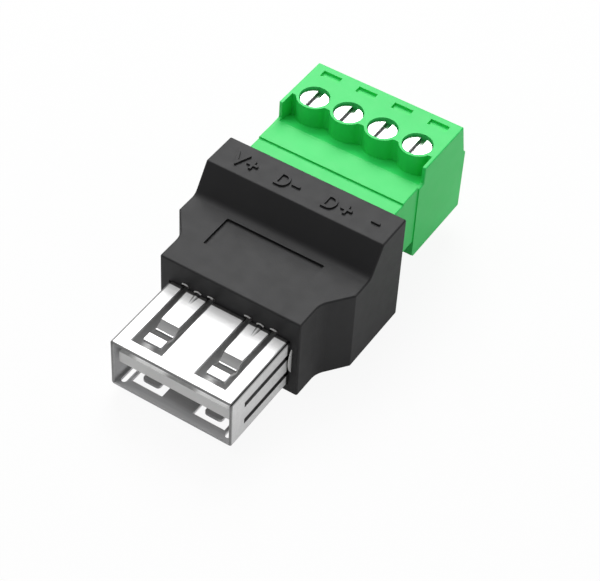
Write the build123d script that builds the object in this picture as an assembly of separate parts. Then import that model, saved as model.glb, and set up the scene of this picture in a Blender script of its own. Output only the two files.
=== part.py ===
from build123d import *
import math
import os

os.makedirs("parts", exist_ok=True)

# Adapter from a flat USB socket to four screw terminals on a pull-out plug.
# Millimetres. X is the width, +Y runs from the USB mouth to the wires, +Z is up.
# The origin is on the underside, at the middle of the width and of the length.

# Socket shell: a folded sheet box, open at the mouth
socket_width = 13.1
socket_height = 5.7
socket_sheet = 0.3
socket_reach = 9.0
socket_tail = 4.4
socket_lift = 0.9
seam_gap = 0.1
mouth_chamfer = 0.06

# Spring tongues lanced from the top and the bottom of the shell
spring_offset = 3.4
window_width = 3.4
window_setback = 1.05
window_tail = 1.6
spring_root_width = 2.2
spring_tip_width = 1.9
spring_bend_setback = 4.72
spring_dip = 0.7
spring_dip_run = 0.85
spring_rise_run = 0.95
spring_lip_drop = 0.2
upper_lip_length = 0.95
upper_lip_corner = 0.08
lower_lip_length = 1.3
lower_lip_corner = 0.35

# Tapering rib pressed up at the root of each upper spring
rib_radius = 0.5
rib_rise = 0.15
rib_length = 2.0

# Slits beside the side springs, and the slots in the floor of the shell
slit_height = 0.66
slit_low_centre = 1.65
slit_pitch = 2.2
slit_setback = 1.95
floor_slot_width = 0.58
floor_slot_inset = 0.57
floor_slot_setback = 0.45
floor_slot_length = 6.65

# Insulator with the contact tongue
tongue_side_gap = 0.3
tongue_thickness = 1.31
tongue_headroom = 1.54
tongue_setback = 0.5
base_length = 2.4
base_fit = 0.04

# Socket contacts, in the order and spacing of a flat USB plug
contact_width = 1.0
contact_sheet = 0.2
contact_outer_offset = 3.5
contact_inner_offset = 1.0
contact_setback = 0.9
contact_relief = 0.12

# Housing, moulded in one piece
housing_length = 14.25
housing_front_wall = 1.05
housing_rear_rim = 1.535
housing_roof = 0.8
flare_foot = 3.2
flare_crest = 5.9
flare_round = 2.2
slope_run = 1.9
slope_cover = 0.4
slope_foot_round = 0.9
edge_round = 0.18

# Bare nameplate recess on the housing
nameplate_width = 10.6
nameplate_length = 3.9
nameplate_from_slope = 0.9
nameplate_depth = 0.25

# Arched notches in the face of the housing, over the slots of the shell and its ribs
notch_width = 0.84
notch_depth = 0.5
notch_crown = 0.12
slot_notch_rise = 0.6
rib_notch_rise = 0.4

# Clearances inside the housing
pocket_fit = 0.05
nose_fit = 0.15
nose_end_gap = 0.2

# Circuit board and pin header
board_side_margin = 0.485
board_setback = 1.55
board_thickness = 1.0
board_gap = 0.2
chamber_headroom = 0.15
chamber_legroom = 0.5
carrier_side_lap = 0.3
carrier_height = 3.2
carrier_thickness = 1.4
pin_size = 1.0
pin_engagement = 6.6
pin_on_board = 1.5
pin_fit = 0.03
pin_point = 0.25

# Terminal plug
pole_count = 4
pole_pitch = 3.81
plug_side_margin = 2.4
plug_floor = 2.2
plug_height = 11.0
plug_body_length = 9.1
plug_top_setback = 1.15
plug_kink_drop = 3.45
plug_kink_setback = 0.38
plug_ledge_drop = 0.45
plug_underside_chamfer = 0.35
plug_edge_round = 0.12

# Nose of the plug, which goes into the housing
nose_show = 5.0
nose_depth = 3.6
nose_inset = 0.12
nose_height = 7.1
nose_top_drop = 1.8
nose_step = 0.18
nose_step_back = 2.67
nose_lead = 0.3

# Recess with scalloped walls in front of the screws
cheek_setback = 0.85
cheek_thickness = 0.37
cheek_foot = 1.9
scallop_wall = 0.28
valley_offset = 0.8
valley_round = 0.3
recess_floor_wall = 0.38

# Marker recesses behind the screws
marker_width = 2.05
marker_length = 0.85
marker_pitch = 4.0
marker_depth = 0.27
marker_from_edge = 1.15

# Screws and rising clamp cages
screw_from_shoulder = 3.4
screw_head_radius = 1.42
well_fit = 0.08
screw_recess = 0.3
screw_head_height = 1.3
screw_radius = 1.0
screw_point = 0.2
screw_head_chamfer = 0.05
slot_width = 0.7
slot_depth = 0.45
screw_fit = 0.05
screw_seat_gap = 0.03
cage_width = 3.0
cage_length = 3.2
cage_sheet = 0.45
cage_collar = 1.0
cage_travel = 1.7
cage_fit = 0.08
cage_gap = 0.1

# Spring contacts of the plug, whose flat tails lie in the cages
clip_sheet = 0.4
clip_leaf_sheet = 0.25
clip_leaf_height = 1.5
clip_leaf_length = 4.2
clip_spread = 0.3
clip_tail_width = 1.9
clip_setback = 0.4
channel_fit = 0.05
channel_headroom = 0.3
funnel = 0.4

# Places along Y, from the mouth to the wires
total_length = socket_reach + housing_length + nose_show + plug_body_length
mouth_y = -total_length / 2
front_y = mouth_y + socket_reach
housing_rear_y = front_y + housing_length
shoulder_y = housing_rear_y + nose_show
plug_rear_y = shoulder_y + plug_body_length
nose_tip_y = housing_rear_y - nose_depth
socket_end_y = front_y + socket_tail
carrier_rear_y = nose_tip_y - nose_end_gap
carrier_front_y = carrier_rear_y - carrier_thickness
board_rear_y = carrier_front_y - board_gap
board_front_y = socket_end_y + board_setback
nose_joint_y = shoulder_y - nose_step_back
screw_y = shoulder_y + screw_from_shoulder
cheek_y = shoulder_y + cheek_setback
slope_crest_y = nose_tip_y - slope_cover
slope_foot_y = slope_crest_y - slope_run

# Places along Z
socket_top_z = socket_lift + socket_height
plug_top_z = plug_floor + plug_height
nose_top_z = plug_top_z - nose_top_drop
nose_bottom_z = nose_top_z - nose_height
pin_z = nose_bottom_z + nose_height / 2
pin_bottom_z = pin_z - pin_size / 2
board_top_z = pin_bottom_z
board_bottom_z = board_top_z - board_thickness
tongue_top_z = socket_top_z - tongue_headroom
tongue_bottom_z = tongue_top_z - tongue_thickness
clip_top_z = pin_bottom_z - pin_fit
clip_bottom_z = clip_top_z - clip_sheet
head_top_z = plug_top_z - screw_recess
head_bottom_z = head_top_z - screw_head_height
well_floor_z = head_bottom_z - screw_seat_gap
cage_window_top_z = clip_top_z + cage_gap
cage_window_bottom_z = clip_bottom_z - cage_gap - cage_travel
cage_bottom_z = cage_window_bottom_z - cage_sheet
cage_top_z = cage_window_top_z + cage_collar
cage_ceiling_z = cage_top_z + cage_travel + cage_gap
cage_floor_z = cage_bottom_z - cage_gap
chamber_top_z = pin_z + pin_size / 2 + chamber_headroom
housing_front_height = chamber_top_z + housing_roof
housing_height = nose_top_z + housing_roof

# Widths that follow from the poles and from the socket
pole_span = pole_pitch * (pole_count - 1)
plug_width = pole_span + 2 * plug_side_margin
nose_width = plug_width - 2 * nose_inset
board_width = pole_span + pin_size + 2 * board_side_margin
carrier_width = board_width + 2 * carrier_side_lap
housing_rear_width = plug_width + 2 * housing_rear_rim
housing_front_width = socket_width + 2 * housing_front_wall
well_radius = screw_head_radius + well_fit
pole_x = [pole_pitch * (pole - (pole_count - 1) / 2) for pole in range(pole_count)]
contact_x = [-contact_outer_offset, -contact_inner_offset, contact_inner_offset, contact_outer_offset]


def block(x_low, x_high, y_low, y_high, z_low, z_high):
    """A box between six planes."""
    centre = Pos((x_low + x_high) / 2, (y_low + y_high) / 2, (z_low + z_high) / 2)
    return centre * Box(x_high - x_low, y_high - y_low, z_high - z_low)


def centred_block(width, y_low, y_high, z_low, z_high):
    """A box that is symmetric about the middle plane."""
    return block(-width / 2, width / 2, y_low, y_high, z_low, z_high)


def side_prism(points, width):
    """A profile in the YZ plane, carried across the width."""
    profile = make_face(Polyline(*points, close=True))
    return extrude(Plane.YZ * profile, amount=width / 2, both=True)


def make_spring(lip_length, lip_corner):
    """One lanced spring on the top of the shell, with its dip and its turned-up lip."""
    root_y = front_y + window_tail
    bend_y = mouth_y + spring_bend_setback
    dip_y = bend_y - spring_dip_run
    lip_y = dip_y - spring_rise_run
    tip_y = lip_y - lip_length
    top = socket_top_z
    outer = [
        (root_y, top),
        (bend_y, top),
        (dip_y, top - spring_dip),
        (lip_y, top - spring_lip_drop),
        (tip_y, top - spring_lip_drop),
    ]
    inner = [(y, z - socket_sheet) for y, z in reversed(outer)]
    ribbon = side_prism(outer + inner, spring_root_width)
    plan = Polyline(
        (-spring_root_width / 2, root_y),
        (spring_root_width / 2, root_y),
        (spring_tip_width / 2, bend_y),
        (spring_tip_width / 2, tip_y),
        (-spring_tip_width / 2, tip_y),
        (-spring_tip_width / 2, bend_y),
        close=True,
    )
    outline = make_face(plan)
    corners = outline.vertices().group_by(Axis.Y)[0]
    outline = fillet(corners, lip_corner)
    return ribbon & extrude(Pos(0, 0, top - socket_height / 2) * outline, amount=socket_height)


def make_rib_cone(radius):
    """Cone that lies along the root of a spring and runs out under its surface towards the tip."""
    cone = Cone(radius, radius - rib_rise, rib_length)
    middle_y = front_y + notch_depth - pocket_fit - rib_length / 2
    return Pos(0, middle_y, socket_top_z + rib_rise - rib_radius) * Rot(90, 0, 0) * cone


def make_ribbed_spring():
    """Upper spring, with a rib pressed up from below at its root."""
    underside_z = socket_top_z - socket_sheet
    above = centred_block(spring_root_width, mouth_y, housing_rear_y, underside_z, plug_top_z)
    spring = make_spring(upper_lip_length, upper_lip_corner) + (make_rib_cone(rib_radius) & above)
    return spring - make_rib_cone(rib_radius - socket_sheet)


def make_usb_shell():
    """Folded sheet box with springs, slits, floor slots and a seam along one corner."""
    end_y = socket_end_y
    outer = centred_block(socket_width, mouth_y, end_y, socket_lift, socket_top_z)
    inner = centred_block(
        socket_width - 2 * socket_sheet,
        mouth_y,
        end_y,
        socket_lift + socket_sheet,
        socket_top_z - socket_sheet,
    )
    outer = fillet(outer.edges().filter_by(Axis.Y), socket_sheet)
    shell = chamfer(outer.faces().sort_by(Axis.Y)[0].edges(), mouth_chamfer) - inner
    middle_z = (socket_lift + socket_top_z) / 2
    window_front_y = mouth_y + window_setback
    window_end_y = front_y + window_tail
    upper_spring = make_ribbed_spring()
    lower_spring = mirror(make_spring(lower_lip_length, lower_lip_corner), about=Plane.XY.offset(middle_z))
    for side in (-1, 1):
        centre = side * spring_offset
        shell -= block(
            centre - window_width / 2,
            centre + window_width / 2,
            window_front_y,
            window_end_y,
            0,
            plug_top_z,
        )
        shell += Pos(centre, 0, 0) * upper_spring
        shell += Pos(centre, 0, 0) * lower_spring
    slit_y = mouth_y + slit_setback
    for level in range(2):
        low = socket_lift + slit_low_centre + level * slit_pitch - slit_height / 2
        shell -= centred_block(2 * socket_width, slit_y, window_end_y, low, low + slit_height)
    slot_x = socket_width / 2 - floor_slot_inset - floor_slot_width / 2
    slot_y = mouth_y + floor_slot_setback + floor_slot_length / 2
    slot = extrude(SlotOverall(floor_slot_length, floor_slot_width, rotation=90), amount=socket_sheet * 2)
    for side in (-1, 1):
        shell -= Pos(side * slot_x, slot_y, socket_lift - socket_sheet / 2) * slot
    corner = Pos(socket_width / 2 - socket_sheet / 2, 0, socket_top_z - socket_sheet / 2)
    seam = Box(4 * socket_sheet, 2 * total_length, seam_gap)
    shell -= corner * Rot(0, -45, 0) * seam
    return shell


def make_usb_insulator():
    """Base block that fills the back of the shell, with the flat contact tongue."""
    inner_width = socket_width - 2 * (socket_sheet + base_fit)
    base_low = socket_lift + socket_sheet + base_fit
    base_high = socket_top_z - socket_sheet - base_fit
    base_y = socket_end_y - base_length
    body = centred_block(inner_width, base_y, socket_end_y, base_low, base_high)
    tongue_y = mouth_y + tongue_setback
    tongue_width = socket_width - 2 * (socket_sheet + tongue_side_gap)
    body += centred_block(tongue_width, tongue_y, base_y, tongue_bottom_z, tongue_top_z)
    groove_width = contact_width + 2 * base_fit
    groove_y = mouth_y + contact_setback - base_fit
    groove_low = tongue_bottom_z - contact_relief - base_fit
    groove_high = groove_low + contact_relief + 2 * base_fit + contact_sheet
    for x in contact_x:
        low_x = x - groove_width / 2
        body -= block(low_x, low_x + groove_width, groove_y, socket_end_y, groove_low, groove_high)
    return body


def make_usb_contact(x):
    """Flat contact under the tongue, whose tail rises to the underside of the board."""
    low = tongue_bottom_z - contact_relief
    tip_y = mouth_y + contact_setback
    rise_y = socket_end_y + contact_sheet
    board_z = board_bottom_z - contact_sheet
    end_y = (board_front_y + board_rear_y) / 2
    lower = [(tip_y, low), (rise_y, low), (board_front_y, board_z), (end_y, board_z)]
    upper = [(y, z + contact_sheet) for y, z in reversed(lower)]
    return Pos(x, 0, 0) * side_prism(lower + upper, contact_width)


def make_notch(x, rise):
    """Arched notch in the face of the housing, over a slot or a rib of the shell."""
    left = x - notch_width / 2
    right = x + notch_width / 2
    foot_z = socket_top_z
    crown_z = foot_z + rise
    side_z = crown_z - notch_crown
    sides = Polyline((left, side_z), (left, foot_z), (right, foot_z), (right, side_z))
    arch = ThreePointArc((right, side_z), (x, crown_z), (left, side_z))
    outline = make_face([*sides.edges(), arch])
    return extrude(Plane.XZ.offset(-front_y) * outline, amount=-notch_depth)


def is_sharp_corner(vertex):
    """True at the housing's four plan corners and at the crests of its flare."""
    crest_y = front_y + flare_crest
    return min(abs(vertex.Y - y) for y in (front_y, crest_y, housing_rear_y)) < edge_round


def make_housing():
    """Moulded block: the plan outline and the side profile, crossed."""
    half_front = housing_front_width / 2
    half_rear = housing_rear_width / 2
    plan = make_face(
        Polyline(
            (-half_front, front_y),
            (half_front, front_y),
            (half_front, front_y + flare_foot),
            (half_rear, front_y + flare_crest),
            (half_rear, housing_rear_y),
            (-half_rear, housing_rear_y),
            (-half_rear, front_y + flare_crest),
            (-half_front, front_y + flare_foot),
            close=True,
        )
    )
    feet = [v for v in plan.vertices() if abs(v.Y - front_y - flare_foot) < edge_round]
    plan = fillet(feet, flare_round)
    corners = [v for v in plan.vertices() if is_sharp_corner(v)]
    plan = fillet(corners, edge_round)
    solid = extrude(plan, amount=housing_height)
    profile = make_face(
        Polyline(
            (front_y, 0),
            (front_y, housing_front_height),
            (slope_foot_y, housing_front_height),
            (slope_crest_y, housing_height),
            (housing_rear_y, housing_height),
            (housing_rear_y, 0),
            close=True,
        )
    )
    foot = [v for v in profile.vertices() if abs(v.X - slope_foot_y) < edge_round]
    profile = fillet(foot, slope_foot_round)
    solid &= extrude(Plane.YZ * profile, amount=housing_rear_width, both=True)
    rims = [e for e in solid.edges() if e.bounding_box().min.Z > housing_front_height / 2]
    solid = fillet(rims, edge_round)
    plate_y = slope_foot_y - nameplate_from_slope - nameplate_length
    plate_z = housing_front_height - nameplate_depth
    solid -= centred_block(nameplate_width, plate_y, plate_y + nameplate_length, plate_z, housing_height)
    pocket_width = socket_width + 2 * pocket_fit
    pocket_end_y = socket_end_y + board_gap
    solid -= centred_block(
        pocket_width, front_y, pocket_end_y, socket_lift - pocket_fit, socket_top_z + pocket_fit
    )
    slot_offset = (window_width + spring_root_width) / 4
    for side in (-1, 1):
        centre = side * spring_offset
        solid -= make_notch(centre, rib_notch_rise)
        solid -= make_notch(centre - slot_offset, slot_notch_rise)
        solid -= make_notch(centre + slot_offset, slot_notch_rise)
    chamber_low = tongue_bottom_z - contact_relief - chamber_legroom
    chamber_width = board_width + 2 * pocket_fit
    solid -= centred_block(chamber_width, pocket_end_y, carrier_front_y, chamber_low, chamber_top_z)
    bay_width = nose_width + 2 * nose_fit
    bay_low = nose_bottom_z - nose_fit
    bay_high = nose_top_z - nose_step + nose_fit
    solid -= centred_block(bay_width, carrier_rear_y, housing_rear_y, bay_low, bay_high)
    seat = carrier_height / 2 + pocket_fit
    solid -= centred_block(
        carrier_width + 2 * pocket_fit, carrier_front_y, carrier_rear_y, pin_z - seat, pin_z + seat
    )
    return solid


def make_circuit_board():
    """Small board between the socket contacts and the header pins."""
    return centred_block(board_width, board_front_y, board_rear_y, board_bottom_z, board_top_z)


def make_pin_carrier():
    """Plate at the inner end of the bay that holds the pins."""
    low = pin_z - carrier_height / 2
    high = pin_z + carrier_height / 2
    plate = centred_block(carrier_width, carrier_front_y, carrier_rear_y, low, high)
    hole = pin_size / 2
    for x in pole_x:
        plate -= block(x - hole, x + hole, carrier_front_y, carrier_rear_y, pin_z - hole, pin_z + hole)
    return plate


def make_header_pin(x):
    """Square pin from the board, through the carrier, to a pointed end."""
    half = pin_size / 2
    start_y = board_rear_y - pin_on_board
    end_y = nose_tip_y + pin_engagement
    pin = block(x - half, x + half, start_y, end_y, pin_z - half, pin_z + half)
    tip = pin.faces().sort_by(Axis.Y)[-1].edges()
    return chamfer(tip, pin_point)


def make_plug_body():
    """Moulded plug: body, root of the nose, scalloped recess, wells and clamp chambers."""
    kink_z = plug_top_z - plug_kink_drop
    profile = [
        (shoulder_y, plug_floor),
        (shoulder_y, nose_top_z - nose_step),
        (cheek_y, plug_top_z - cheek_foot),
        (cheek_y, plug_top_z),
        (plug_rear_y - plug_top_setback, plug_top_z),
        (plug_rear_y - plug_kink_setback, kink_z),
        (plug_rear_y, kink_z - plug_ledge_drop),
        (plug_rear_y, plug_floor),
    ]
    body = side_prism(profile, plug_width)
    front_bottom = body.edges().filter_by(Axis.X).group_by(Axis.Z)[0].sort_by(Axis.Y)[0]
    body = chamfer(front_bottom, plug_underside_chamfer)
    outer_edges = [e for e in body.edges() if e.bounding_box().max.Y > shoulder_y + plug_edge_round]
    body = fillet(outer_edges, plug_edge_round)
    root = centred_block(nose_width, nose_joint_y, shoulder_y, nose_bottom_z, nose_top_z)
    body += fillet(root.edges().filter_by(Axis.Y), plug_edge_round)
    body -= make_scalloped_recess()
    for index in range(pole_count):
        x = marker_pitch * (index - (pole_count - 1) / 2)
        far = plug_rear_y - plug_top_setback - marker_from_edge + marker_length / 2
        body -= block(
            x - marker_width / 2,
            x + marker_width / 2,
            far - marker_length,
            far,
            plug_top_z - marker_depth,
            plug_top_z + marker_depth,
        )
    for x in pole_x:
        body -= make_pole_cavity(x)
    return body


def make_plug_nose():
    """Front piece of the nose, snapped on the plug over the spring contacts."""
    top_z = nose_top_z - nose_step
    nose = centred_block(nose_width, nose_tip_y, nose_joint_y, nose_bottom_z, top_z)
    nose = chamfer(nose.faces().sort_by(Axis.Y)[0].edges(), nose_lead)
    nose = fillet(nose.edges().filter_by(Axis.Y), plug_edge_round)
    for x in pole_x:
        nose -= make_contact_channel(x)
    return nose


def make_contact_channel(x):
    """Channel of one spring contact, from the end of the nose to the clamp chamber."""
    half_channel = clip_half_width() + channel_fit
    end_y = screw_y - cage_length / 2 - cage_fit
    top_z = clip_bottom_z + clip_leaf_height + clip_sheet + channel_headroom
    return block(x - half_channel, x + half_channel, nose_tip_y, end_y, clip_bottom_z, top_z)


def make_scalloped_recess():
    """The cut in front of the screws: a sloping floor and a wall that follows the wells."""
    inner_width = plug_width - 2 * cheek_thickness
    wall_y = screw_y - valley_offset
    length = wall_y - shoulder_y
    plan = Pos(0, shoulder_y + length / 2) * Rectangle(inner_width, length)
    for x in pole_x:
        plan -= Pos(x, screw_y) * Circle(well_radius + scallop_wall)
    on_wall = [v for v in plan.vertices() if abs(v.Y - wall_y) < valley_round]
    valleys = [v for v in on_wall if abs(v.X) < inner_width / 2 - valley_round]
    valley_room = pole_pitch / 2 - math.sqrt((well_radius + scallop_wall) ** 2 - valley_offset**2)
    plan = fillet(valleys, min(valley_round, valley_room))
    cut = extrude(plan, amount=plug_top_z)
    floor = [
        (shoulder_y, nose_top_z),
        (wall_y, cage_ceiling_z + recess_floor_wall),
        (wall_y, plug_top_z),
        (shoulder_y, plug_top_z),
    ]
    return cut & side_prism(floor, plug_width)


def make_pole_cavity(x):
    """Screw well, shank hole, clamp chamber, wire tunnel and contact channel of one pole."""
    half_cage = cage_width / 2 + cage_fit
    chamber_front = screw_y - cage_length / 2 - cage_fit
    chamber_rear = screw_y + cage_length / 2 + cage_fit
    well_height = plug_top_z - well_floor_z
    cavity = Pos(x, screw_y, well_floor_z + well_height / 2) * Cylinder(well_radius, well_height)
    shank_height = well_floor_z - cage_floor_z
    shank = Cylinder(screw_radius + screw_fit, shank_height)
    cavity += Pos(x, screw_y, cage_floor_z + shank_height / 2) * shank
    cavity += block(x - half_cage, x + half_cage, chamber_front, chamber_rear, cage_floor_z, cage_ceiling_z)
    tunnel_top = cage_top_z + cage_gap
    cavity += block(x - half_cage, x + half_cage, chamber_rear, plug_rear_y, cage_floor_z, tunnel_top)
    tunnel_height = tunnel_top - cage_floor_z
    tunnel_z = cage_floor_z + tunnel_height / 2
    mouth = Plane(origin=(x, plug_rear_y, tunnel_z), x_dir=(1, 0, 0), z_dir=(0, 1, 0))
    wide = mouth * Rectangle(2 * half_cage + funnel, tunnel_height + funnel)
    narrow = mouth.offset(-funnel) * Rectangle(2 * half_cage, tunnel_height)
    cavity += loft([wide, narrow])
    return cavity + make_contact_channel(x)


def clip_half_width():
    """Half of the width of a spring contact, over its leaves at the flared mouth."""
    return pin_size / 2 + pin_fit + clip_leaf_sheet + clip_spread


def make_socket_contact(x):
    """Spring contact: a floor strip, two leaves that pinch the pin, and a tail in the cage."""
    half = clip_half_width()
    start_y = nose_tip_y + clip_setback
    leaf_end_y = start_y + clip_leaf_length
    tail_end_y = screw_y + cage_length / 2
    clip = block(-half, half, start_y, leaf_end_y, clip_bottom_z, clip_top_z)
    tail_half = clip_tail_width / 2
    clip += block(-tail_half, tail_half, leaf_end_y, tail_end_y, clip_bottom_z, clip_top_z)
    pinch = pin_size / 2 + pin_fit
    pinch_y = start_y + clip_leaf_length / 3
    inner = [(pinch + clip_spread, start_y), (pinch, pinch_y), (pinch + clip_spread, leaf_end_y)]
    outer = [(px + clip_leaf_sheet, py) for px, py in reversed(inner)]
    leaf = extrude(make_face(Polyline(*inner, *outer, close=True)), amount=clip_leaf_height)
    leaf = Pos(0, 0, clip_top_z) * leaf
    clip += leaf
    clip += mirror(leaf, about=Plane.YZ)
    return Pos(x, 0, 0) * clip


def make_clamp_cage(x):
    """Square brass cage that rises on its screw and pulls the wire up against the tail."""
    half = cage_width / 2
    start_y = screw_y - cage_length / 2
    end_y = screw_y + cage_length / 2
    cage = block(-half, half, start_y, end_y, cage_bottom_z, cage_top_z)
    inner = half - cage_sheet
    cage -= block(-inner, inner, start_y, end_y, cage_window_bottom_z, cage_window_top_z)
    collar_z = (cage_window_top_z + cage_top_z) / 2
    cage -= Pos(0, screw_y, collar_z) * Cylinder(screw_radius + screw_fit, 2 * cage_collar)
    return Pos(x, 0, 0) * cage


def make_clamp_screw(x):
    """Slotted cheese-head screw that turns in place."""
    head_z = (head_top_z + head_bottom_z) / 2
    screw = Pos(0, 0, head_z) * Cylinder(screw_head_radius, screw_head_height)
    screw = chamfer(screw.edges().sort_by(Axis.Z)[-1], screw_head_chamfer)
    end_z = clip_top_z + screw_fit
    shank_length = head_bottom_z - end_z
    shank = Pos(0, 0, end_z + shank_length / 2) * Cylinder(screw_radius, shank_length)
    shank = chamfer(shank.edges().sort_by(Axis.Z)[0], screw_point)
    screw += shank
    slot_z = head_top_z - slot_depth
    screw -= block(-slot_width / 2, slot_width / 2, -well_radius, well_radius, slot_z, plug_top_z)
    return Pos(x, screw_y, 0) * screw


nodes = {
    "housing": make_housing(),
    "usb_shell": make_usb_shell(),
    "usb_insulator": make_usb_insulator(),
    "circuit_board": make_circuit_board(),
    "pin_carrier": make_pin_carrier(),
    "plug_body": make_plug_body(),
    "plug_nose": make_plug_nose(),
}
for number, x in enumerate(contact_x, start=1):
    nodes[f"usb_contact_{number}"] = make_usb_contact(x)
for number, x in enumerate(pole_x, start=1):
    nodes[f"header_pin_{number}"] = make_header_pin(x)
    nodes[f"socket_contact_{number}"] = make_socket_contact(x)
    nodes[f"clamp_cage_{number}"] = make_clamp_cage(x)
    nodes[f"clamp_screw_{number}"] = make_clamp_screw(x)

for name, solid in nodes.items():
    solid.label = name
    export_step(solid, f"parts/{name}.step")
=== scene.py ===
import bmesh
import bpy
import math

from mathutils import Matrix, Vector


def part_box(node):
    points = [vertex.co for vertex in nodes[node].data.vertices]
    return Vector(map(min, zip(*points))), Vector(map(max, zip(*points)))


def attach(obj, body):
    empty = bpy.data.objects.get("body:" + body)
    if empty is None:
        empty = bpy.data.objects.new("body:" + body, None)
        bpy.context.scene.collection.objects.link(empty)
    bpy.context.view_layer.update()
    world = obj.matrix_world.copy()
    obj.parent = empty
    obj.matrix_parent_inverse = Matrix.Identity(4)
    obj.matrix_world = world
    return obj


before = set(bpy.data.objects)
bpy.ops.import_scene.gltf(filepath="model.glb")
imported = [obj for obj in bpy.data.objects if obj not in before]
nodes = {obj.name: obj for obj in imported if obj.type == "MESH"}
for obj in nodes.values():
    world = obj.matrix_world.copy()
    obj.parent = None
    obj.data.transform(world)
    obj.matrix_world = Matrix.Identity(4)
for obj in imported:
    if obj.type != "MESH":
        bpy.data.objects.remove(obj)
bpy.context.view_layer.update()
MM = 0.001


# Housing: one black moulding with a spark-eroded, matt surface and a flared, raised rear deck.
# It is moulded in two halves that are glued over the socket and the board, so it stays one piece here.

noise_middle = (0.3, 0.7)
colour_spots = 6.0 * MM
gloss_spots = 1.2 * MM
gloss_change = 0.02


def new_finish(name):
    """An empty material, its node tree, its shader and the place of each point on the piece."""
    finish = bpy.data.materials.new(name)
    finish.use_nodes = True
    tree = finish.node_tree
    shader = tree.nodes["Principled BSDF"]
    place = tree.nodes.new("ShaderNodeTexCoord").outputs["Object"]
    return finish, tree, shader, place


def ramp(tree, value, start, end, low=0.0, high=1.0):
    """A number that goes from low to high, and no further, while a value goes from start to end."""
    climb = tree.nodes.new("ShaderNodeMapRange")
    climb.inputs["From Min"].default_value = start
    climb.inputs["From Max"].default_value = end
    climb.inputs["To Min"].default_value = low
    climb.inputs["To Max"].default_value = high
    tree.links.new(value, climb.inputs["Value"])
    return climb.outputs["Result"]


def grain(tree, place, size, detail, stretch=(1, 1, 1)):
    """Noise whose spots are about size metres across, and longer along an axis with a small stretch."""
    fit = tree.nodes.new("ShaderNodeMapping")
    fit.inputs["Scale"].default_value = [share / size for share in stretch]
    tree.links.new(place, fit.inputs["Vector"])
    noise = tree.nodes.new("ShaderNodeTexNoise")
    noise.inputs["Scale"].default_value = 1.0
    noise.inputs["Detail"].default_value = detail
    tree.links.new(fit.outputs["Vector"], noise.inputs["Vector"])
    return noise.outputs["Fac"]


def span(tree, noise, low, high):
    """Spreads the middle of a noise over the numbers from low to high."""
    return ramp(tree, noise, *noise_middle, low, high)


def blend_colours(tree, share, first, second):
    """A colour between two, by a share from 0 to 1."""
    mix = tree.nodes.new("ShaderNodeMix")
    mix.data_type = "RGBA"
    mix.inputs["A"].default_value = (*first, 1)
    mix.inputs["B"].default_value = (*second, 1)
    tree.links.new(share, mix.inputs["Factor"])
    return mix.outputs["Result"]


def add_relief(tree, shader, height, depth):
    """Turns a value into a fine relief of the surface, depth metres deep."""
    bump = tree.nodes.new("ShaderNodeBump")
    bump.inputs["Distance"].default_value = depth
    tree.links.new(height, bump.inputs["Height"])
    tree.links.new(bump.outputs["Normal"], shader.inputs["Normal"])


def make_moulding(name, dark, light, roughness, specular, texture_size, texture_depth):
    """Moulded plastic: slight drifts of colour and gloss, and the texture of the mould."""
    finish, tree, shader, place = new_finish(name)
    drift = span(tree, grain(tree, place, colour_spots, detail=3), 0, 1)
    tree.links.new(blend_colours(tree, drift, dark, light), shader.inputs["Base Color"])
    clouds = grain(tree, place, gloss_spots, detail=4)
    gloss = span(tree, clouds, roughness - gloss_change, roughness + gloss_change)
    tree.links.new(gloss, shader.inputs["Roughness"])
    shader.inputs["Specular IOR Level"].default_value = specular
    add_relief(tree, shader, grain(tree, place, texture_size, detail=3), texture_depth)
    return finish


def dress(finish, *names):
    """Gives pieces of the frame their finish."""
    for name in names:
        for slot in nodes[name].material_slots:
            slot.material = finish


black_moulding = make_moulding(
    "matt_black_moulding",
    dark=(0.011, 0.011, 0.012),
    light=(0.015, 0.015, 0.016),
    roughness=0.56,
    specular=0.38,
    texture_size=0.12 * MM,
    texture_depth=0.004 * MM,
)
dress(black_moulding, "housing")


# Terminal marks: the usual names of the four lines, raised on the rear deck in a plain sans.
# They are moulded with the housing, in its plastic, and stand 0.18 mm proud of the deck.
# Each place gives a character's left, right, front and rear edges on the deck, in millimetres.

deck_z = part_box("housing")[1][2]
mark_type_size = 2.4 * MM
mark_rise = 0.18 * MM
mark_soft_edge = 0.02 * MM
mark_growth = 0.04 * MM
mark_places = [
    ("V", -7.95, -6.40, 1.50, 3.25),
    ("+", -6.28, -5.10, 1.75, 2.95),
    ("D", -2.90, -1.60, 1.50, 3.25),
    ("-", -1.30, -0.42, 2.20, 2.42),
    ("D", 2.25, 3.52, 1.50, 3.25),
    ("+", 3.96, 5.16, 1.78, 2.98),
    ("-", 7.17, 8.06, 2.38, 2.60),
]
weld_distance = 0.0005 * MM


def make_sign(character):
    """One raised character as a mesh, half of it above its own origin."""
    curve = bpy.data.curves.new("sign", "FONT")
    curve.body = character
    curve.size = mark_type_size
    curve.extrude = mark_rise - mark_soft_edge
    curve.bevel_depth = mark_soft_edge
    curve.bevel_resolution = 2
    curve.offset = mark_growth - mark_soft_edge
    lettering = bpy.data.objects.new("sign", curve)
    mesh = bpy.data.meshes.new_from_object(lettering)
    bpy.data.objects.remove(lettering)
    bpy.data.curves.remove(curve)
    return mesh


def add_piece(name, form, finish, body):
    """Makes a form into a piece of the object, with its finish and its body."""
    bmesh.ops.remove_doubles(form, verts=form.verts, dist=weld_distance)
    bmesh.ops.recalc_face_normals(form, faces=form.faces)
    mesh = bpy.data.meshes.new(name)
    form.to_mesh(mesh)
    form.free()
    mesh.materials.append(finish)
    piece = bpy.data.objects.new(name, mesh)
    bpy.context.collection.objects.link(piece)
    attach(piece, body)


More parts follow.
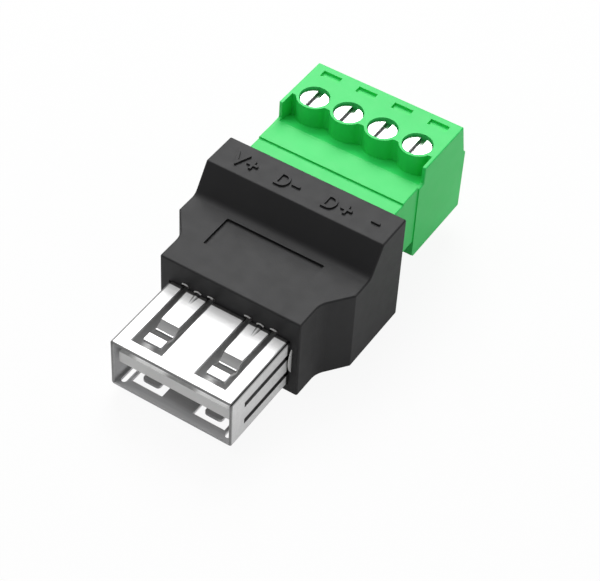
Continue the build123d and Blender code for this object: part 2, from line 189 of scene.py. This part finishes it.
marks = bmesh.new()
for character, left, right, front, rear in mark_places:
    sign = make_sign(character)
    older = set(marks.verts)
    marks.from_mesh(sign)
    bpy.data.meshes.remove(sign)
    newer = [vert for vert in marks.verts if vert not in older]
    low_x = min(vert.co.x for vert in newer)
    low_y = min(vert.co.y for vert in newer)
    wide = max(vert.co.x for vert in newer) - low_x
    tall = max(vert.co.y for vert in newer) - low_y
    bmesh.ops.translate(marks, vec=(-low_x, -low_y, 0), verts=newer)
    fit = ((right - left) * MM / wide, (rear - front) * MM / tall, 1)
    bmesh.ops.scale(marks, vec=fit, verts=newer)
    bmesh.ops.translate(marks, vec=(left * MM, front * MM, deck_z), verts=newer)
add_piece("terminal_marks", marks, black_moulding, "adapter")


# Insulator of the USB socket: pale moulded block with the contact tongue, pushed into the shell.
# Its four flat contacts are tinned strips that lie in grooves under the tongue.

streak_width = 0.25 * MM
streak_squeeze = 0.06
cloud_size = 2.5 * MM
brighter = 0.03
duller = 0.05


def make_metal(name, dark, light, roughness, streak_along, streak_depth, metallic=1.0):
    """Plated metal: streaks of rolling or turning along one axis, in tone, gloss and relief."""
    finish, tree, shader, place = new_finish(name)
    stretch = [streak_squeeze if axis == streak_along else 1.0 for axis in "xyz"]
    streaks = grain(tree, place, streak_width, detail=4, stretch=stretch)
    tree.links.new(blend_colours(tree, span(tree, streaks, 0, 1), dark, light), shader.inputs["Base Color"])
    clouds = grain(tree, place, cloud_size, detail=3)
    tree.links.new(span(tree, clouds, roughness - brighter, roughness + duller), shader.inputs["Roughness"])
    shader.inputs["Metallic"].default_value = metallic
    add_relief(tree, shader, streaks, streak_depth)
    return finish


def all_four(name):
    """The names of four like nodes, one for each line."""
    return [f"{name}_{number}" for number in range(1, 5)]


pale_moulding = make_moulding(
    "pale_socket_moulding",
    dark=(0.84, 0.84, 0.83),
    light=(0.90, 0.90, 0.89),
    roughness=0.42,
    specular=0.4,
    texture_size=0.2 * MM,
    texture_depth=0.003 * MM,
)
dress(pale_moulding, "usb_insulator")

tinned = make_metal(
    "tinned_alloy",
    dark=(0.62, 0.61, 0.59),
    light=(0.72, 0.71, 0.69),
    roughness=0.28,
    streak_along="y",
    streak_depth=0.003 * MM,
)
dress(tinned, *all_four("usb_contact"))


# Shell of the USB socket: nickel-plated sheet steel, stamped, folded to a box and lanced for its springs.
# Its tail is trapped in the housing. Its tints are painted shade, for the dark that the bright sheet lies
# in and mirrors: in its hollow, on the cut faces of its slits, on the springs' slopes and rear faces, along
# the folds, and a painted shadow where it enters the housing.

shell_low, shell_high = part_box("usb_shell")
face_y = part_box("housing")[0][1]
hollow_axis = (0.0, 0.0, shell_high[2] - 1.4 * MM)
hollow_margin = 0.5 * MM
side_wall_start = shell_high[0] - 0.30 * MM
side_wall_end = shell_high[0] - 0.25 * MM
slope_shade_start = shell_high[2] - 1.1 * MM
slope_shade_end = shell_high[2] - 0.1 * MM
joint_start = 0.34 * MM - face_y
joint_end = 0.26 * MM - face_y
hollow_painted_shade = (0.74, 0.74, 0.75)
side_wall_painted_shade = (0.30, 0.30, 0.30)
mouth_side_painted_shade = (0.62, 0.62, 0.62)
slope_head_painted_shade = (0.50, 0.50, 0.50)
rear_side_painted_shade = (0.10, 0.10, 0.10)
fold_painted_shade = (0.25, 0.25, 0.25)
joint_painted_shadow = (0.08, 0.08, 0.08)


def tint_where(finish, share, tint):
    """Multiplies a finish's colour by a tint where a share from 0 to 1 says so."""
    tree = finish.node_tree
    colour = tree.nodes["Principled BSDF"].inputs["Base Color"]
    mix = tree.nodes.new("ShaderNodeMix")
    mix.data_type = "RGBA"
    mix.blend_type = "MULTIPLY"
    mix.inputs["B"].default_value = (*tint, 1)
    tree.links.new(share, mix.inputs["Factor"])
    tree.links.new(colour.links[0].from_socket, mix.inputs["A"])
    tree.links.new(mix.outputs["Result"], colour)


def along_axis(finish, source, axis):
    """One axis of a point's place on its piece, or of its normal there."""
    tree = finish.node_tree
    split = tree.nodes.new("ShaderNodeSeparateXYZ")
    tree.links.new(tree.nodes["Texture Coordinate"].outputs[source], split.inputs[0])
    return split.outputs[axis]


def work_out(tree, operation, *values):
    """The result of one sum on values that are plain numbers or come from other nodes."""
    step = tree.nodes.new("ShaderNodeMath")
    step.operation = operation
    for socket, value in zip(step.inputs, values):
        if isinstance(value, float):
            socket.default_value = value
        else:
            tree.links.new(value, socket)
    return step.outputs[0]


def both(finish, first, second):
    """The product of two shares."""
    return work_out(finish.node_tree, "MULTIPLY", first, second)


def facing_in(finish, middle, margin):
    """1 on faces that look towards the long middle axis of a box, 0 on those that look out of it."""
    tree = finish.node_tree
    point = tree.nodes["Texture Coordinate"]
    away = tree.nodes.new("ShaderNodeVectorMath")
    away.operation = "SUBTRACT"
    away.inputs[1].default_value = middle
    tree.links.new(point.outputs["Object"], away.inputs[0])
    across = tree.nodes.new("ShaderNodeVectorMath")
    across.operation = "MULTIPLY"
    across.inputs[1].default_value = (1, 0, 1)
    tree.links.new(away.outputs[0], across.inputs[0])
    outward = tree.nodes.new("ShaderNodeVectorMath")
    outward.operation = "DOT_PRODUCT"
    tree.links.new(across.outputs[0], outward.inputs[0])
    tree.links.new(point.outputs["Normal"], outward.inputs[1])
    return ramp(tree, outward.outputs["Value"], margin, -margin)


def facing_along(finish, axis, start, end):
    """0 where the normal's share along an axis is at its start or before, and 1 from its end on."""
    return ramp(finish.node_tree, along_axis(finish, "Normal", axis), start, end)


def far_along(finish, axis, start, end):
    """0 where a coordinate, without its sign, is at its start or before, and 1 from its end on."""
    distance = work_out(finish.node_tree, "ABSOLUTE", along_axis(finish, "Object", axis))
    return ramp(finish.node_tree, distance, start, end)


def along_folds(finish):
    """1 halfway round the folds between the top and the sides of a box, and 0 on its flat faces."""
    normal_x = along_axis(finish, "Normal", "X")
    normal_z = along_axis(finish, "Normal", "Z")
    size = work_out(finish.node_tree, "ABSOLUTE", both(finish, normal_x, normal_z))
    return work_out(finish.node_tree, "MULTIPLY", size, 2.0)


nickel = make_metal(
    "nickel_plated_sheet",
    dark=(0.86, 0.86, 0.86),
    light=(0.94, 0.94, 0.94),
    roughness=0.52,
    streak_along="x",
    streak_depth=0.002 * MM,
    metallic=0.85,
)
in_hollow = facing_in(nickel, hollow_axis, hollow_margin)
# Painted shade on the faces inside the shell, which look towards its long middle axis.
tint_where(nickel, in_hollow, hollow_painted_shade)
at_side_walls = far_along(nickel, "X", side_wall_start, side_wall_end)
# Deeper painted shade on inward faces close to the side walls, such as the slits' cut faces.
tint_where(nickel, both(nickel, in_hollow, at_side_walls), side_wall_painted_shade)
facing_mouth = facing_along(nickel, "Y", start=-0.3, end=-0.6)
# Painted shade on faces that look towards the mouth, such as the springs' slopes.
tint_where(nickel, facing_mouth, mouth_side_painted_shade)
at_slope_head = far_along(nickel, "Z", slope_shade_start, slope_shade_end)
# Deeper painted shade on those faces near the top of the shell, at the heads of the upper springs' slopes.
tint_where(nickel, both(nickel, facing_mouth, at_slope_head), slope_head_painted_shade)
# Painted shade on faces that look towards the housing, such as the springs' rear ramps.
tint_where(nickel, facing_along(nickel, "Y", start=0.2, end=0.4), rear_side_painted_shade)
# A painted dark line halfway round the folds between the top and the sides.
tint_where(nickel, along_folds(nickel), fold_painted_shade)
at_joint = far_along(nickel, "Y", joint_start, joint_end)
# A painted shadow on the sheet from about 0.3 mm in front of the housing's face inwards.
tint_where(nickel, at_joint, joint_painted_shadow)

sheet_shader = nickel.node_tree.nodes["Principled BSDF"]
sheet_shader.inputs["Anisotropic"].default_value = 0.75
rolling = nickel.node_tree.nodes.new("ShaderNodeCombineXYZ")
rolling.inputs["X"].default_value = 0.03
rolling.inputs["Y"].default_value = 1.0
rolling.inputs["Z"].default_value = 0.05
nickel.node_tree.links.new(rolling.outputs["Vector"], sheet_shader.inputs["Tangent"])
dress(nickel, "usb_shell")


# Spring bends: a thin strip of the shell's finish for the bright bend where each upper spring dips.
# Its height is counted from the top of the shell's box, which is the ribs' and stands 0.15 mm over the
# sheet, so each strip hangs that much above its fold. Lower by 0.15 mm, it would fill the fold.

bend_length = 1.88 * MM
bend_width = 0.12 * MM
bend_fill = 0.035 * MM
bend_soft_edge = 0.012 * MM
spring_x = 3.4 * MM
bend_y = shell_low[1] + 3.87 * MM
bend_z = shell_high[2] - 0.70 * MM

bends = bmesh.new()
for side in (-1, 1):
    strip = bmesh.ops.create_cube(bends, size=1.0)["verts"]
    bmesh.ops.scale(bends, vec=(bend_length, bend_width, bend_fill), verts=strip)
    bmesh.ops.translate(bends, vec=(side * spring_x, bend_y, bend_z + bend_fill / 2), verts=strip)
bmesh.ops.bevel(
    bends,
    geom=bends.edges[:],
    offset=bend_soft_edge,
    offset_type="OFFSET",
    segments=2,
    profile=0.5,
    affect="EDGES",
    material=-1,
)
add_piece("spring_bends", bends, nickel, "adapter")


# Collar rim: the edge of the insulator's pale collar, which shows where the housing shuts on the shell.
# It makes a thin bow in each notch of the housing's face, over the slots and the ribs of the shell,
# and a leaf beside the slits of each side. A bow's row is its x, chord, rise and z in millimetres.

rim_thickness = 0.10 * MM
bow_depth = 0.20 * MM
bow_y = face_y + 0.02 * MM
bow_steps = 12
bow_places = [
    (2.0, 0.66, 0.06, 7.12),
    (4.8, 0.66, 0.06, 7.12),
    (3.4, 0.78, 0.17, 6.86),
]
leaf_height = 3.0 * MM
leaf_bulge = 0.45 * MM
leaf_x = 6.79 * MM
leaf_z = 4.2 * MM
leaf_segments = 96


def arc_radius(chord, rise):
    """The radius of an arc that rises over its chord."""
    return (chord * chord / 4 + rise * rise) / (2 * rise)


def move_into(whole, part):
    """Moves a part's mesh into a larger one."""
    cut = bpy.data.meshes.new("part")
    part.to_mesh(cut)
    part.free()
    whole.from_mesh(cut)
    bpy.data.meshes.remove(cut)


def make_bow(chord, rise):
    """A strip bowed over a chord along X, whose ends lie at the origin's height."""
    radius = arc_radius(chord, rise)
    half = math.asin(chord / 2 / radius)
    bow = bmesh.new()
    bmesh.ops.create_grid(bow, x_segments=1, y_segments=1, size=0.5)
    bmesh.ops.scale(bow, vec=(rim_thickness, bow_depth, 1), verts=bow.verts)
    bmesh.ops.translate(bow, vec=(rim_thickness / 2 - radius, 0, 0), verts=bow.verts)
    level = Matrix.Rotation(math.pi / 2 - half, 3, "Y")
    bmesh.ops.rotate(bow, cent=(0, 0, 0), matrix=level, verts=bow.verts)
    section = bow.verts[:] + bow.edges[:] + bow.faces[:]
    bmesh.ops.spin(bow, geom=section, cent=(0, 0, 0), axis=(0, 1, 0), angle=2 * half, steps=bow_steps)
    bmesh.ops.translate(bow, vec=(0, 0, rise - radius), verts=bow.verts)
    return bow


def make_leaf():
    """A thin upright disc's front slice, which bulges towards the mouth from the origin."""
    radius = arc_radius(leaf_height, leaf_bulge)
    leaf = bmesh.new()
    bmesh.ops.create_circle(leaf, cap_ends=True, radius=radius, segments=leaf_segments)
    bmesh.ops.bisect_plane(
        leaf,
        geom=leaf.verts[:] + leaf.edges[:] + leaf.faces[:],
        plane_co=(0, leaf_bulge - radius, 0),
        plane_no=(0, 1, 0),
        clear_outer=True,
    )
    grown = bmesh.ops.extrude_face_region(leaf, geom=leaf.faces[:])["geom"]
    far_side = [item for item in grown if isinstance(item, bmesh.types.BMVert)]
    bmesh.ops.translate(leaf, vec=(0, 0, rim_thickness), verts=far_side)
    upright = Matrix.Rotation(math.pi / 2, 3, "Y")
    bmesh.ops.rotate(leaf, cent=(0, 0, 0), matrix=upright, verts=leaf.verts)
    bmesh.ops.translate(leaf, vec=(-rim_thickness / 2, radius - leaf_bulge, 0), verts=leaf.verts)
    return leaf


rim = bmesh.new()
for side in (-1, 1):
    for x, chord, rise, z in bow_places:
        bow = make_bow(chord * MM, rise * MM)
        bmesh.ops.translate(bow, vec=(side * x * MM, bow_y, z * MM), verts=bow.verts)
        move_into(rim, bow)
    leaf = make_leaf()
    bmesh.ops.translate(leaf, vec=(side * leaf_x, face_y, leaf_z), verts=leaf.verts)
    move_into(rim, leaf)
add_piece("collar_rim", rim, pale_moulding, "adapter")


# Circuit board: glass fibre sheet under green solder mask, which lies flat inside the housing.
# The socket's contacts and the header's pins are soldered into it.

board_mask = make_moulding(
    "board_solder_mask",
    dark=(0.01, 0.10, 0.04),
    light=(0.02, 0.13, 0.05),
    roughness=0.3,
    specular=0.5,
    texture_size=0.3 * MM,
    texture_depth=0.004 * MM,
)
dress(board_mask, "circuit_board")


# Header: four square pins of tinned alloy, pressed through a plate moulded in the housing's plastic.
# The plate closes the inner end of the housing's bay, and the pins stand out of it for the plug.

dress(black_moulding, "pin_carrier")
dress(tinned, *all_four("header_pin"))


# Spring contacts and rising cages of the plug: the contacts are folded from tinned copper alloy strip
# and grip the pins, and each cage of nickel-plated brass rises on its screw and clamps the wire.

cage_plate = make_metal(
    "plated_cage",
    dark=(0.60, 0.60, 0.60),
    light=(0.72, 0.72, 0.71),
    roughness=0.3,
    streak_along="z",
    streak_depth=0.004 * MM,
)
dress(tinned, *all_four("socket_contact"))
dress(cage_plate, *all_four("clamp_cage"))


# Plug: green glass-filled nylon, with a satin surface off a polished mould.
# The nose is a cap of the same nylon, snapped on the body over the spring contacts.

green_moulding = make_moulding(
    "green_nylon",
    dark=(0.032, 0.78, 0.150),
    light=(0.040, 0.84, 0.175),
    roughness=0.50,
    specular=0.48,
    texture_size=0.5 * MM,
    texture_depth=0.004 * MM,
)
dress(green_moulding, "plug_body", "plug_nose")


# Terminal screws: zinc-plated steel with slotted cheese heads, which turn in the wells of the plug.
# The walls of each slot carry painted shade towards its foot, where little light comes in.

head_top_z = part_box("clamp_screw_1")[1][2]
slot_shade_start = head_top_z - 0.26 * MM
slot_shade_end = head_top_z - 0.30 * MM
slot_painted_shade = (0.15, 0.15, 0.15)

screw_steel = make_metal(
    "zinc_plated_steel",
    dark=(0.70, 0.70, 0.70),
    light=(0.82, 0.82, 0.82),
    roughness=0.24,
    streak_along="x",
    streak_depth=0.003 * MM,
)
at_walls = facing_along(screw_steel, "Z", start=0.7, end=0.3)
at_slot_foot = far_along(screw_steel, "Z", slot_shade_start, slot_shade_end)
# Painted shade on upright faces more than about 0.3 mm under the head's top, at the feet of the slots.
tint_where(screw_steel, both(screw_steel, at_walls, at_slot_foot), slot_painted_shade)
dress(screw_steel, *all_four("clamp_screw"))


# Studio: a pale floor that keeps the object's shadow and shows nearly white, in plain pale air.
# A soft lamp hangs behind and to the left, a larger one above, and a faint one stands low on the right.
# The camera has the photograph's viewing angle.

floor_reach = 1.5
floor_drop = 0.02 * MM
lit_point = (0, 0, 6 * MM)


def backdrop_strength(tree, plain, seen, mirrored):
    """A strength that is plain for light on the object, seen for the camera, and partly seen mirrored."""
    path = tree.nodes.new("ShaderNodeLightPath").outputs
    in_view = work_out(tree, "MAXIMUM", path["Is Camera Ray"], path["Is Transmission Ray"])
    in_mirror = work_out(tree, "MULTIPLY", path["Is Glossy Ray"], mirrored)
    return ramp(tree, work_out(tree, "MAXIMUM", in_view, in_mirror), 0.0, 1.0, plain, seen)


def hang_lamp(name, place, size, watts):
    """A square soft lamp at a place, turned towards the object."""
    data = bpy.data.lights.new(name, "AREA")
    data.shape = "SQUARE"
    data.size = size
    data.energy = watts
    lamp = bpy.data.objects.new(name, data)
    bpy.context.collection.objects.link(lamp)
    lamp.location = place
    lamp.rotation_euler = (Vector(lit_point) - Vector(place)).to_track_quat("-Z", "Y").to_euler()


floor_form = bmesh.new()
bmesh.ops.create_grid(floor_form, x_segments=1, y_segments=1, size=floor_reach)
bmesh.ops.translate(floor_form, vec=(0, 0, -floor_drop), verts=floor_form.verts)
floor_mesh = bpy.data.meshes.new("floor")
floor_form.to_mesh(floor_mesh)
floor_form.free()
floor = bpy.data.objects.new("floor", floor_mesh)
bpy.context.collection.objects.link(floor)

floor_finish, floor_tree, floor_shader, _ = new_finish("pale_floor")
floor_shader.inputs["Base Color"].default_value = (0.80, 0.80, 0.80, 1)
floor_shader.inputs["Roughness"].default_value = 0.9
floor_shader.inputs["Specular IOR Level"].default_value = 0.0
glow = floor_tree.nodes.new("ShaderNodeEmission")
glow.inputs["Strength"].default_value = 1.02
join = floor_tree.nodes.new("ShaderNodeMixShader")
glow_share = backdrop_strength(floor_tree, plain=0.0, seen=0.9, mirrored=0.45)
floor_tree.links.new(glow_share, join.inputs["Fac"])
floor_tree.links.new(floor_shader.outputs["BSDF"], join.inputs[1])
floor_tree.links.new(glow.outputs["Emission"], join.inputs[2])
floor_tree.links.new(join.outputs["Shader"], floor_tree.nodes["Material Output"].inputs["Surface"])
floor_mesh.materials.append(floor_finish)

world = bpy.data.worlds.new("studio_air")
world.use_nodes = True
bpy.context.scene.world = world
air = world.node_tree.nodes["Background"]
air.inputs["Color"].default_value = (1, 1, 1, 1)
air_strength = backdrop_strength(world.node_tree, plain=0.26, seen=1.0, mirrored=0.15)
world.node_tree.links.new(air_strength, air.inputs["Strength"])

hang_lamp("lamp_behind", place=(-0.175, 0.30, 0.36), size=0.28, watts=1.48)
hang_lamp("lamp_above", place=(-0.17, 0.00, 0.45), size=0.36, watts=0.72)
hang_lamp("lamp_right", place=(0.40, 0.16, 0.08), size=0.30, watts=0.18)

camera_data = bpy.data.cameras.new("camera")
camera_data.sensor_fit = "HORIZONTAL"
camera_data.sensor_width = 36.0
camera_data.lens = 116.525
camera_data.clip_start = 0.005
camera_data.clip_end = 10.0
camera = bpy.data.objects.new("camera", camera_data)
bpy.context.collection.objects.link(camera)
camera.location = (0.06568812, -0.10934454, 0.13422998)
camera.rotation_euler = (0.76299488, -0.04346509, 0.57553632)
bpy.context.scene.camera = camera
bpy.context.scene.view_settings.view_transform = "Standard"
